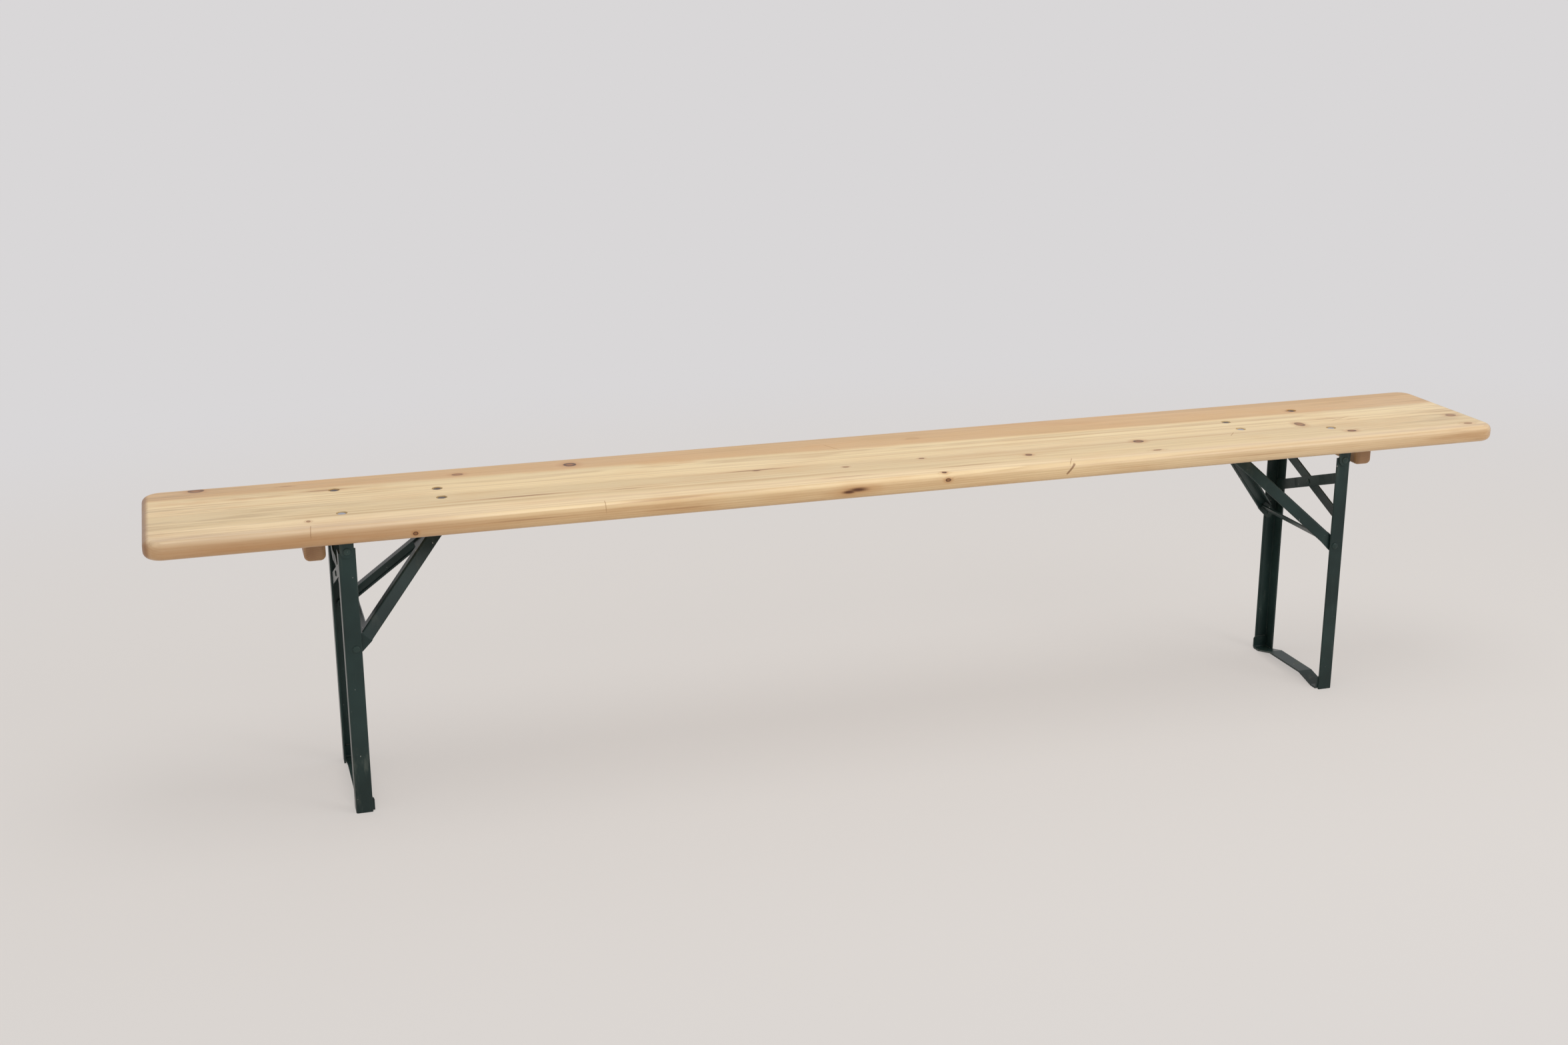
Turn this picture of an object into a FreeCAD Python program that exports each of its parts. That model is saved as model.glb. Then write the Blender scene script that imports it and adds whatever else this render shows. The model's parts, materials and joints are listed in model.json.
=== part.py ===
"""Folding bench: one plank on two leg frames that fold up flat underneath it.

X runs along the plank, Y across it towards the back and Z up, in millimetres.
The origin is on the floor under the middle of the plank.  Each end carries the
same metal set, turned half round about Z: a hinge strap, a leg frame, a brace in
the shape of a triangle that folds with it, and the catch that holds its tip.
"""
import FreeCAD, Part
import math
import os

V = FreeCAD.Vector

# Plank
plank_length = 2200.0
plank_width = 272.0
plank_thickness = 28.0
seat_height = 457.0
plan_corner_radius = 28.0
edge_radius = 10.5
rear_joint_y = 48.0
front_joint_y = -38.0

# Leg frame: two upright angle bars, their corners at the outside of the frame
leg_outer_x = 834.0
frame_width = 218.0
leg_flange = 25.0
sheet = 2.5
leg_bend_radius = 3.0
leg_bead = 4.0
hinge_drop = 16.5
tongue_radius = 9.5
bead_stop_rise = 3.0
side_flange_drop = 3.0

# Hinge strap under the plank
strap_width = 20.0
strap_thickness = 3.0
strap_bend_radius = 1.0
hinge_bolt_y = 63.0

# Crossed bars near the top of a leg frame
cross_centre_z = 345.0
cross_bar_width = 18.0
outer_bar_rise = 42.0
inner_bar_rise = 33.5
cross_run = 100.0
joggle_start = 34.0
joggle_length = 14.0

# Foot bar
foot_bar_width = 25.0
foot_bar_thickness = 3.0
foot_bar_lift = 10.0
foot_pad = 20.0
foot_ramp = 40.0
foot_turn_up = 22.0
foot_bend_radius = 2.0
foot_corner_radius = 4.0

# Brace
brace_pivot_x = 817.5
brace_pivot_z = 261.0
brace_ear_inset = 5.5
ear_radius = 8.0
arm_height = 20.0
arm_rise = 9.0
arm_flange = 16.0
arm_bead = 4.5
arm_bend = 22.0
arm_past_bead = 5.0
arm_short_of_bead = 11.0
arm_tip_height = 17.0
arm_taper = 20.0
arm_corner_radius = 2.0
base_bar_start = 9.0
base_bar_width = 18.0
base_bar_drop = 4.0
hook_plate_length = 52.0
hook_neck_half = 6.0
hook_half_width = 14.5
hook_bead_radius = 4.5
hook_bead_rise = 4.5

# Catch
catch_x = 667.0
catch_plate_inboard = 38.0
catch_plate_outboard = 17.0
catch_plate_half = 38.0
catch_plate_corner = 7.0
jaw_half_width = 14.0
jaw_slot_half = 8.0
jaw_relief = 1.0
jaw_clearance = 0.5
lip_slope = 27.0
lip_length = 7.5
catch_bolt_offset = 4.5
catch_bolt_y = 25.0
leaf_sheet = 0.8
leaf_half_width = 8.0
leaf_dip = 1.8
leaf_rivet_inboard = 29.5
leaf_rivet_diameter = 3.0
leaf_tail = 6.0
leaf_dip_inboard = 13.0
leaf_dip_half = 1.5
leaf_ramp = 5.5
leaf_tip_length = 4.0
leaf_tip_drop = 0.3
leaf_bend_radius = 1.2

# Stacking cleats
cleat_inner_x = 850.0
cleat_section = 31.0
cleat_length = 204.0
cleat_corner_radius = 9.0
cleat_edge_radius = 8.0
cleat_screw_places = (-72.0, 5.0, 74.0)

# Fasteners
bolt_diameter = 6.0
bolt_head_diameter = 14.0
bolt_head_height = 3.2
recess_diameter = 16.5
recess_depth = 3.8
nut_across_flats = 10.0
nut_height = 5.0
bolt_past_nut = 1.6
rivet_diameter = 6.0
rivet_head_diameter = 11.0
rivet_head_height = 2.4
rivet_tail_diameter = 10.0
rivet_tail_height = 2.0
shoulder_diameter = 7.8
cross_rivet_diameter = 5.0
cross_rivet_head_diameter = 9.0
cross_rivet_head_height = 1.8
leaf_rivet_head_height = 1.2
head_rim = 0.2
head_steps = 4
end_bevel = 0.6
tail_bevel = 1.0
thin_edge = 0.3
screw_diameter = 4.2
screw_head_diameter = 8.4
screw_head_height = 2.6
screw_head_rim = 0.6
screw_sunk = 0.4
screw_tip_radius = 0.4
screw_in_plank = 17.0

# Clearances
moving_gap = 0.3
running_fit = 0.05
fixed_fit = 0.02
bolt_hole_play = 0.3
cleat_hole_play = 0.15
weld_gap = 0.05

# Derived places
plank_under = seat_height - plank_thickness
strap_under = plank_under - strap_thickness
catch_plate_under = plank_under - sheet
leg_half = frame_width / 2
leg_inner_half = leg_half - sheet
side_flange_inner_x = leg_outer_x - sheet
hinge_x = leg_outer_x - leg_flange / 2
hinge_z = plank_under - hinge_drop
strap_ear_inner = leg_half + moving_gap
strap_ear_outer = strap_ear_inner + strap_thickness
brace_ear_outer = leg_half - brace_ear_inset
brace_ear_inner = brace_ear_outer - sheet
jaw_inner_radius = hook_bead_radius + jaw_clearance
catch_z = catch_plate_under - jaw_inner_radius
catch_bolt_x = catch_x + catch_bolt_offset
leaf_rivet_x = catch_x - leaf_rivet_inboard
cleat_middle_x = cleat_inner_x + cleat_section / 2

# The brace leans from its pivot so that the bead at its tip lies in the catch
brace_run = brace_pivot_x - catch_x
brace_climb = catch_z - brace_pivot_z
brace_reach = math.hypot(brace_run, brace_climb)
brace_lean = math.acos(hook_bead_rise / brace_reach) - math.atan2(brace_run, brace_climb)
hook_bead_along = math.sqrt(brace_reach ** 2 - hook_bead_rise ** 2)
arm_end = hook_bead_along - arm_short_of_bead
arm_slant = math.atan2(brace_ear_outer, hook_bead_along + arm_past_bead - arm_bend)
arm_floor = arm_rise - arm_height
hook_plate_top = arm_rise - sheet - weld_gap


def corner(before, here, after, radius):
    """Where a rounded corner leaves its first side, its middle, and where it joins the next."""
    back = (before - here).normalize()
    onward = (after - here).normalize()
    half_angle = back.getAngle(onward) / 2
    inward = (back + onward).normalize()
    centre = here + inward * (radius / math.sin(half_angle))
    reach = radius / math.tan(half_angle)
    return here + back * reach, centre - inward * radius, here + onward * reach


def flat_face(points):
    """Closed face in the XY plane from (x, y, corner radius) points."""
    places = [V(x, y, 0) for x, y, _ in points]
    marks = []
    for index, (_, _, radius) in enumerate(points):
        here = places[index]
        if radius > 0:
            following = places[(index + 1) % len(places)]
            marks.append(corner(places[index - 1], here, following, radius))
        else:
            marks.append((here, None, here))
    edges = []
    for index, (enter, middle, leave) in enumerate(marks):
        if middle:
            edges.append(Part.Arc(enter, middle, leave).toShape())
        following = marks[(index + 1) % len(marks)][0]
        if following.distanceToPoint(leave) > 1e-6:
            edges.append(Part.LineSegment(leave, following).toShape())
    return Part.Face(Part.Wire(edges))


def strip_face(path, thickness, inside_radius):
    """Side view of a bent strip whose middle line follows the (x, y) path."""
    places = [V(x, y, 0) for x, y in path]
    runs = [(end - start).normalize() for start, end in zip(places, places[1:])]
    left_side = []
    right_side = []
    for index, here in enumerate(places):
        before = runs[max(index - 1, 0)]
        after = runs[min(index, len(runs) - 1)]
        normal = V(-before.y - after.y, before.x + after.x, 0).normalize()
        offset = normal * (thickness / 2 / normal.dot(V(-before.y, before.x, 0)))
        turn = before.x * after.y - before.y * after.x
        left_radius = 0
        right_radius = 0
        if abs(turn) > 1e-9:
            left_radius = inside_radius if turn > 0 else inside_radius + thickness
            right_radius = inside_radius + thickness if turn > 0 else inside_radius
        left_side.append((here.x + offset.x, here.y + offset.y, left_radius))
        right_side.append((here.x - offset.x, here.y - offset.y, right_radius))
    return flat_face(left_side + right_side[::-1])


def frame_at(origin, x_axis, y_axis):
    """Placement whose local X and Y lie along the two given directions."""
    return FreeCAD.Placement(origin, FreeCAD.Rotation(x_axis, y_axis, x_axis.cross(y_axis), "XYZ"))


def extruded(face, depth, origin, x_axis, y_axis):
    """Face drawn in XY, pushed along its normal and then placed."""
    solid = face.extrude(V(0, 0, depth))
    solid.Placement = frame_at(origin, x_axis, y_axis)
    return solid


def side_view(face, y_from, y_to):
    """Outline drawn in X and Z, given its extent in Y."""
    return extruded(face, y_to - y_from, V(0, y_to, 0), V(1, 0, 0), V(0, 0, 1))


def end_view(face, x_from, x_to):
    """Outline drawn in Y and Z, given its extent in X."""
    return extruded(face, x_to - x_from, V(x_from, 0, 0), V(0, 1, 0), V(0, 0, 1))


def turned(points, origin, axis):
    """Solid of revolution from (radius, distance along the axis, corner radius) points."""
    solid = flat_face(points).revolve(V(0, 0, 0), V(0, 1, 0), 360)
    solid.Placement = FreeCAD.Placement(origin, FreeCAD.Rotation(V(0, 1, 0), axis))
    return solid


def dome(radius, height):
    """Profile points of a low domed head, from its middle down to its rim."""
    lowest = height * (1 - head_rim)
    turns = [math.radians(90 * step / head_steps) for step in range(head_steps + 1)]
    rounded = [(radius * math.sin(turn), lowest * (1 - math.cos(turn)), 0) for turn in turns]
    return rounded + [(radius, height, 0)]


def rod(diameter, start, end):
    """Plain round bar between two points."""
    return Part.makeCylinder(diameter / 2, start.distanceToPoint(end), start, end - start)


def mirrored_in_y(shape):
    """The same piece on the other long side of the bench."""
    return shape.mirror(V(0, 0, 0), V(0, 1, 0))


def turned_round(shape):
    """The same piece at the other end of the bench."""
    copy = shape.copy()
    copy.rotate(V(0, 0, 0), V(0, 0, 1), 180)
    return copy


def group(solids):
    """Separate identical pieces that are kept together."""
    return Part.makeCompound(solids)


def at_both_ends(solids):
    """Every piece of the right-hand set with its twin of the left-hand set."""
    return group(solids + [turned_round(solid) for solid in solids])


def bulb_angle(bulb_flange, plain_flange, bend_radius, bead):
    """Section of an angle bar: its upright flange ends in a rolled bead."""
    angle = flat_face([
        (0, 0, bend_radius),
        (plain_flange, 0, 0),
        (plain_flange, sheet, 0),
        (sheet, sheet, bend_radius - sheet),
        (sheet, bulb_flange - bead / 2, 0),
        (0, bulb_flange - bead / 2, 0),
    ])
    bulb = Part.Face(Part.Wire(Part.makeCircle(bead / 2, V(bead / 2, bulb_flange - bead / 2, 0))))
    return angle.fuse(bulb).removeSplitter().Faces[0]


# Plank and what is fastened to it

def bolt_places():
    """The four bolts of the right-hand set, each with the face its nut bears on."""
    hinge = [(hinge_x, side * hinge_bolt_y, strap_under) for side in (-1, 1)]
    catch = [(catch_bolt_x, side * catch_bolt_y, catch_plate_under) for side in (-1, 1)]
    return hinge, catch


def bolt_hole(x, y, from_z, to_z):
    return rod(bolt_diameter + 2 * bolt_hole_play, V(x, y, from_z), V(x, y, to_z))


def carriage_bolt(x, y, nut_face):
    """Mushroom-headed bolt sunk in its recess, long enough to pass its nut."""
    head_radius = bolt_head_diameter / 2
    shank_radius = bolt_diameter / 2
    top = seat_height - recess_depth + bolt_head_height
    length = top - nut_face + nut_height + bolt_past_nut
    return turned(dome(head_radius, bolt_head_height) + [
        (shank_radius, bolt_head_height, 0),
        (shank_radius, length - end_bevel, 0),
        (shank_radius - end_bevel, length, 0),
        (0, length, 0),
    ], V(x, y, top), V(0, 0, -1))


def hexagon_nut(x, y, nut_face):
    """Hexagon nut drawn up against the metal under the plank."""
    corner_radius = nut_across_flats / math.sqrt(3)
    angles = [math.radians(60 * step) for step in range(6)]
    outline = flat_face([(corner_radius * math.cos(a), corner_radius * math.sin(a), 0) for a in angles])
    nut = outline.extrude(V(0, 0, nut_height))
    nut = nut.cut(rod(bolt_diameter + 2 * fixed_fit, V(0, 0, -1), V(0, 0, nut_height + 1)))
    nut.translate(V(x, y, nut_face - nut_height))
    return nut


def cleat_screw(x, y, oversize=0.0):
    """Countersunk wood screw driven up through the cleat, or the hole that takes it."""
    shank = screw_diameter / 2 + oversize
    head = screw_head_diameter / 2 + oversize
    bottom = plank_under - cleat_section
    length = cleat_section + screw_in_plank + oversize
    sunk = screw_sunk if oversize == 0 else 0.0
    return turned([
        (0, sunk, 0),
        (head, sunk, 0),
        (head, screw_head_rim, 0),
        (shank, screw_head_rim + screw_head_height, 0),
        (shank, length - 2 * screw_diameter, 0),
        (screw_tip_radius, length, 0),
        (0, length, 0),
    ], V(x, y, bottom), V(0, 0, 1))


def plank():
    """The glued-up plank, rounded all round, with its recesses and holes."""
    blank = Part.makeBox(plank_length, plank_width, plank_thickness,
                         V(-plank_length / 2, -plank_width / 2, plank_under))
    upright = [edge for edge in blank.Edges if abs(edge.tangentAt(edge.FirstParameter).z) > 0.9]
    blank = blank.makeFillet(plan_corner_radius, upright)
    rim = [edge for edge in blank.Edges if edge.BoundBox.ZLength < 1e-6]
    blank = blank.makeFillet(edge_radius, rim)
    hinge_places, catch_places = bolt_places()
    holes = []
    for x, y, _ in hinge_places + catch_places:
        holes.append(bolt_hole(x, y, plank_under - 1, seat_height))
        holes.append(rod(recess_diameter, V(x, y, seat_height - recess_depth), V(x, y, seat_height + 1)))
    for y in cleat_screw_places:
        holes.append(cleat_screw(cleat_middle_x, y, fixed_fit))
    return blank.cut(at_both_ends(holes).Solids)


def board(whole, y_from, y_to):
    """One of the boards that the plank is glued from."""
    slice_box = Part.makeBox(plank_length + 2, y_to - y_from, plank_thickness + 2,
                             V(-plank_length / 2 - 1, y_from, plank_under - 1))
    return whole.common(slice_box)


def cleat():
    """Wooden cleat across the underside that spaces stacked benches."""
    wood = Part.makeBox(cleat_section, cleat_length, cleat_section,
                        V(cleat_inner_x, -cleat_length / 2, plank_under - cleat_section))
    upright = [edge for edge in wood.Edges if abs(edge.tangentAt(edge.FirstParameter).z) > 0.9]
    wood = wood.makeFillet(cleat_corner_radius, upright)
    under = [edge for edge in wood.Edges if edge.BoundBox.ZMax < plank_under - cleat_section + 1e-3]
    wood = wood.makeFillet(cleat_edge_radius, under)
    return wood.cut([cleat_screw(cleat_middle_x, y, cleat_hole_play) for y in cleat_screw_places])


def hinge_strap():
    """Flat bar under the plank, bent down at both ends into the ears of the leg hinge."""
    middle_z = plank_under - strap_thickness / 2
    ear_y = strap_ear_inner + strap_thickness / 2
    ear_bottom = hinge_z - strap_width / 2
    path = [(-ear_y, ear_bottom), (-ear_y, middle_z), (ear_y, middle_z), (ear_y, ear_bottom)]
    inboard = hinge_x - strap_width / 2
    outboard = hinge_x + strap_width / 2
    strap = end_view(strip_face(path, strap_thickness, strap_bend_radius), inboard, outboard)
    rounded = flat_face([
        (inboard, ear_bottom, strap_width / 2),
        (outboard, ear_bottom, strap_width / 2),
        (outboard, plank_under, 0),
        (inboard, plank_under, 0),
    ])
    strap = strap.common(side_view(rounded, -strap_ear_outer, strap_ear_outer))
    holes = [bolt_hole(x, y, strap_under - 1, plank_under + 1) for x, y, _ in bolt_places()[0]]
    holes.append(rod(rivet_diameter + 2 * fixed_fit, V(hinge_x, -strap_ear_outer - 1, hinge_z),
                     V(hinge_x, strap_ear_outer + 1, hinge_z)))
    return strap.cut(holes)


def hinge_rivet():
    """Rivet fixed in the rear ear; the leg turns on it."""
    head_radius = rivet_head_diameter / 2
    tail_radius = rivet_tail_diameter / 2
    shank_radius = rivet_diameter / 2
    head_face = rivet_head_height
    tail_face = head_face + strap_thickness + moving_gap + sheet + moving_gap
    end = tail_face + rivet_tail_height
    return turned(dome(head_radius, head_face) + [
        (shank_radius, head_face, 0),
        (shank_radius, tail_face, 0),
        (tail_radius, tail_face, 0),
        (tail_radius, end - tail_bevel, 0),
        (tail_radius - tail_bevel, end, 0),
        (0, end, 0),
    ], V(hinge_x, strap_ear_outer + rivet_head_height, hinge_z), V(0, -1, 0))


# Catch for the tip of the brace

def catch_plate():
    """Pressed plate with a two-fingered jaw bent down out of it, open towards the middle."""
    inboard = catch_x - catch_plate_inboard
    outboard = catch_x + catch_plate_outboard
    plate = flat_face([
        (inboard, -catch_plate_half, catch_plate_corner),
        (outboard, -catch_plate_half, catch_plate_corner),
        (outboard, catch_plate_half, catch_plate_corner),
        (inboard, catch_plate_half, catch_plate_corner),
    ]).extrude(V(0, 0, sheet))
    plate.translate(V(0, 0, catch_plate_under))
    notch_half = jaw_half_width + jaw_relief
    notch = Part.makeBox(catch_plate_outboard + 1, 2 * notch_half, sheet + 2,
                         V(catch_x, -notch_half, catch_plate_under - 1))
    middle_radius = jaw_inner_radius + sheet / 2
    turn = math.radians(90 - lip_slope)
    slope = math.radians(lip_slope)
    lip_x = catch_x + middle_radius * math.cos(turn) - lip_length * math.cos(slope)
    lip_z = catch_z - middle_radius * math.sin(turn) - lip_length * math.sin(slope)
    path = [
        (catch_x - 1, catch_z + middle_radius),
        (catch_x + middle_radius, catch_z + middle_radius),
        (catch_x + middle_radius, catch_z - middle_radius * math.tan(turn / 2)),
        (lip_x, lip_z),
    ]
    bent = strip_face(path, sheet, jaw_inner_radius)
    fingers = [side_view(bent, -jaw_half_width, -jaw_slot_half), side_view(bent, jaw_slot_half, jaw_half_width)]
    holes = [bolt_hole(x, y, catch_plate_under - 1, plank_under + 1) for x, y, _ in bolt_places()[1]]
    holes.append(rod(leaf_rivet_diameter + 2 * fixed_fit, V(leaf_rivet_x, 0, catch_plate_under - 1),
                     V(leaf_rivet_x, 0, plank_under + 1)))
    return plate.cut(notch).fuse(fingers).removeSplitter().cut(holes)


def catch_leaf():
    """Thin leaf spring whose dip keeps the brace tip from leaving the jaw by itself."""
    level = catch_plate_under - leaf_sheet / 2
    dip_x = catch_x - leaf_dip_inboard
    path = [
        (leaf_rivet_x - leaf_tail, level),
        (dip_x - leaf_dip_half - leaf_ramp, level),
        (dip_x - leaf_dip_half, level - leaf_dip),
        (dip_x + leaf_dip_half, level - leaf_dip),
        (dip_x + leaf_dip_half + leaf_tip_length, level - leaf_tip_drop),
    ]
    leaf = side_view(strip_face(path, leaf_sheet, leaf_bend_radius), -leaf_half_width, leaf_half_width)
    return leaf.cut(rod(leaf_rivet_diameter + 2 * fixed_fit, V(leaf_rivet_x, 0, catch_plate_under - 3),
                        V(leaf_rivet_x, 0, catch_plate_under + 1)))


def leaf_rivet():
    """Small rivet through the leaf and its plate."""
    head = leaf_rivet_diameter
    bottom = catch_plate_under - leaf_sheet - leaf_rivet_head_height
    shank = leaf_rivet_diameter / 2
    length = plank_under - bottom
    return turned([
        (0, 0, 0),
        (head - leaf_rivet_head_height, 0, 0),
        (head, leaf_rivet_head_height - thin_edge, 0),
        (head, leaf_rivet_head_height, 0),
        (shank, leaf_rivet_head_height, 0),
        (shank, length, 0),
        (0, length, 0),
    ], V(leaf_rivet_x, 0, bottom), V(0, 0, 1))


# Leg frame

def front_leg():
    """Bulb angle with its corner at the outside of the frame and a hinge tongue on top."""
    top = hinge_z + tongue_radius
    section = bulb_angle(leg_flange, leg_flange, leg_bend_radius, leg_bead)
    leg = extruded(section, top, V(leg_outer_x, -leg_half, 0), V(0, 1, 0), V(-1, 0, 0))
    side_top = hinge_z - side_flange_drop
    bead_top = hinge_z + bead_stop_rise
    inner_x = leg_outer_x - leg_flange
    outline = flat_face([
        (inner_x - 1, 0, 0),
        (leg_outer_x + 1, 0, 0),
        (leg_outer_x + 1, side_top, 0),
        (hinge_x + tongue_radius, side_top, 0),
        (hinge_x + tongue_radius, top, tongue_radius),
        (hinge_x - tongue_radius, top, tongue_radius),
        (hinge_x - tongue_radius, bead_top, 0),
        (inner_x - 1, bead_top, 0),
    ])
    leg = leg.common(side_view(outline, -leg_half - 1, 0))
    hinge_hole = rod(rivet_diameter + 2 * running_fit, V(hinge_x, -leg_half - 1, hinge_z),
                     V(hinge_x, -leg_inner_half + 1, hinge_z))
    brace_hole = rod(rivet_diameter + 2 * fixed_fit, V(brace_pivot_x, -leg_half - 1, brace_pivot_z),
                     V(brace_pivot_x, -leg_inner_half + 1, brace_pivot_z))
    bead_notch = Part.makeBox(leg_bead + 2, leg_bead, foot_turn_up + 1 + weld_gap,
                              V(leg_outer_x - leg_flange - 1, -leg_inner_half, -1))
    return leg.cut([hinge_hole, brace_hole, bead_notch])


def cross_bar(rise, lifted):
    """Flat bar between the side flanges; the lifted one is joggled over the other."""
    slant = V(0, cross_run, rise).normalize()
    overlong = cross_run + 2 * cross_bar_width
    seated = sheet / 2
    if lifted:
        raised = seated + sheet
        ramp_end = joggle_start + joggle_length
        path = [(-overlong, seated), (-ramp_end, seated), (-joggle_start, raised),
                (joggle_start, raised), (ramp_end, seated), (overlong, seated)]
    else:
        path = [(-overlong, seated), (overlong, seated)]
    across = slant.cross(V(-1, 0, 0))
    origin = V(side_flange_inner_x, 0, cross_centre_z) - across * (cross_bar_width / 2)
    bar = extruded(strip_face(path, sheet, sheet), cross_bar_width, origin, slant, V(-1, 0, 0))
    reach = leg_inner_half - (leg_bend_radius - sheet) - weld_gap
    bar = bar.common(Part.makeBox(leg_flange, 2 * reach, seat_height, V(leg_outer_x - leg_flange, -reach, 0)))
    hole = rod(cross_rivet_diameter + 2 * fixed_fit, V(leg_outer_x - 20, 0, cross_centre_z),
               V(leg_outer_x + 5, 0, cross_centre_z))
    return bar.cut(hole)


def cross_rivet():
    """Rivet where the two flat bars cross."""
    head = cross_rivet_head_diameter / 2
    shank = cross_rivet_diameter / 2
    height = cross_rivet_head_height
    bars = 2 * sheet
    return turned(dome(head, height) + [
        (shank, height, 0),
        (shank, height + bars, 0),
        (head, height + bars, 0),
        (head, 2 * height + bars - tail_bevel, 0),
        (head - tail_bevel, 2 * height + bars, 0),
        (0, 2 * height + bars, 0),
    ], V(side_flange_inner_x - bars - height, 0, cross_centre_z), V(1, 0, 0))


def foot_bar():
    """Flat bar between the legs: turned up against them inside and arched clear of the floor."""
    low = foot_bar_thickness / 2
    high = low + foot_bar_lift
    outer = leg_inner_half - weld_gap - foot_bar_thickness / 2
    ramp_foot = leg_half - foot_pad
    ramp_top = ramp_foot - foot_ramp
    half_path = [(outer, foot_turn_up), (outer, low), (ramp_foot, low), (ramp_top, high)]
    path = [(-y, z) for y, z in half_path] + half_path[::-1]
    outboard = side_flange_inner_x - (leg_bend_radius - sheet)
    bar = end_view(strip_face(path, foot_bar_thickness, foot_bend_radius),
                   outboard - foot_bar_width, outboard)
    tips = [edge for edge in bar.Edges
            if edge.BoundBox.ZMin > foot_turn_up - 1e-3 and edge.BoundBox.XLength < 1e-3]
    return bar.makeFillet(foot_corner_radius, tips)


def brace_rivet():
    """Shouldered rivet fixed in the rear leg; the ear of the brace turns on it."""
    shank = rivet_diameter / 2
    tail_radius = rivet_tail_diameter / 2
    head_face = rivet_head_height
    flange_face = head_face + sheet
    shoulder_end = flange_face + leg_inner_half - brace_ear_outer - moving_gap
    tail_face = shoulder_end + 2 * moving_gap + sheet
    end = tail_face + rivet_tail_height
    return turned(dome(rivet_head_diameter / 2, head_face) + [
        (shank, head_face, 0),
        (shank, flange_face, 0),
        (shoulder_diameter / 2, flange_face, 0),
        (shoulder_diameter / 2, shoulder_end, 0),
        (shank, shoulder_end, 0),
        (shank, tail_face, 0),
        (tail_radius, tail_face, 0),
        (tail_radius, end - tail_bevel, 0),
        (tail_radius - tail_bevel, end, 0),
        (0, end, 0),
    ], V(brace_pivot_x, leg_half + rivet_head_height, brace_pivot_z), V(0, -1, 0))


# Brace, drawn in its own frame: X from the pivot to the tip, Z square to its plane

def brace_placement():
    """Puts the brace on its pivot, leaning towards the middle of the bench."""
    along = V(-math.cos(brace_lean), 0, math.sin(brace_lean))
    return frame_at(V(brace_pivot_x, 0, brace_pivot_z), along, V(0, -1, 0))


def placed_brace(solid):
    solid.Placement = brace_placement().multiply(solid.Placement)
    return solid


def arm_outer_half(along):
    """Distance from the middle line of the brace to the outside of an arm."""
    return brace_ear_outer - (along - arm_bend) * math.tan(arm_slant)


def arm_side_view():
    """Outline of an arm seen along the pivot: rounded behind the pivot, lower at its tip."""
    return flat_face([
        (-ear_radius, arm_floor, ear_radius * 0.95),
        (ear_radius, arm_floor, 0),
        (ear_radius, arm_floor - 1, 0),
        (arm_end, arm_floor - 1, 0),
        (arm_end, arm_floor + arm_tip_height, arm_corner_radius),
        (arm_end - arm_taper, arm_rise, 0),
        (arm_end - arm_taper, arm_rise + 1, 0),
        (ear_radius, arm_rise + 1, 0),
        (ear_radius, arm_rise, 0),
        (-ear_radius, arm_rise, ear_radius * 0.95),
    ])


def brace_arm(side):
    """Bulb angle with its lower end bent straight into an ear; side is 1 or -1 across the brace."""
    bend_run = (leg_bend_radius + sheet) * math.tan(arm_slant / 2)
    straight = math.cos(arm_slant) * 2 * bend_run
    sideways = math.sin(arm_slant) * 2 * bend_run
    ear_y = brace_ear_outer - sheet / 2
    bend_x = arm_bend - sheet / 2 * math.tan(arm_slant / 2)
    path = [(-ear_radius, ear_y), (bend_x, ear_y), (bend_x + straight, ear_y - sideways)]
    web = strip_face(path, sheet, leg_bend_radius).extrude(V(0, 0, arm_height))
    web.translate(V(0, 0, arm_floor))
    inward = V(-math.sin(arm_slant), -math.cos(arm_slant), 0)
    section = bulb_angle(arm_height, arm_flange, leg_bend_radius, arm_bead)
    start = arm_bend + bend_run
    length = (arm_end - start + arm_height) / math.cos(arm_slant)
    bar = extruded(section, length, V(start, arm_outer_half(start), arm_rise), inward, V(0, 0, -1))
    arm = web.fuse(bar).removeSplitter()
    arm = arm.common(side_view(arm_side_view(), weld_gap, brace_ear_outer + 1))
    arm = arm.cut(rod(rivet_diameter + 2 * running_fit, V(0, brace_ear_inner - 1, 0), V(0, brace_ear_outer + 1, 0)))
    if side < 0:
        arm = mirrored_in_y(arm)
    return placed_brace(arm)


def base_bar():
    """Flat bar welded between the two arms just above the pivot."""
    inside = brace_ear_inner - weld_gap
    end = base_bar_start + base_bar_width
    turn = arm_bend - 2 * sheet
    end_half = arm_outer_half(end) - sheet / math.cos(arm_slant) - weld_gap
    half_outline = [(base_bar_start, inside, 0), (turn, inside, 0), (end, end_half, 0)]
    outline = half_outline + [(along, -half, radius) for along, half, radius in half_outline[::-1]]
    bar = flat_face(outline).extrude(V(0, 0, sheet))
    bar.translate(V(0, 0, -base_bar_drop))
    return placed_brace(bar)


def brace_hook():
    """Plate under the tips of the arms with the cross bead that the jaw holds."""
    start = arm_end - hook_plate_length
    inset = leg_bend_radius / math.cos(arm_slant)
    half_outline = [
        (start, arm_outer_half(start) - inset, arm_corner_radius),
        (arm_end, arm_outer_half(arm_end) - inset, 0),
        (arm_end + 2 * weld_gap, hook_neck_half, 0),
        (hook_bead_along, hook_neck_half, 0),
    ]
    outline = half_outline + [(along, -half, radius) for along, half, radius in half_outline[::-1]]
    plate = flat_face(outline).extrude(V(0, 0, sheet))
    plate.translate(V(0, 0, hook_plate_top - sheet))
    bead = rod(2 * hook_bead_radius, V(hook_bead_along, -hook_half_width, hook_bead_rise),
               V(hook_bead_along, hook_half_width, hook_bead_rise))
    return placed_brace(plate.fuse(bead).removeSplitter())


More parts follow.
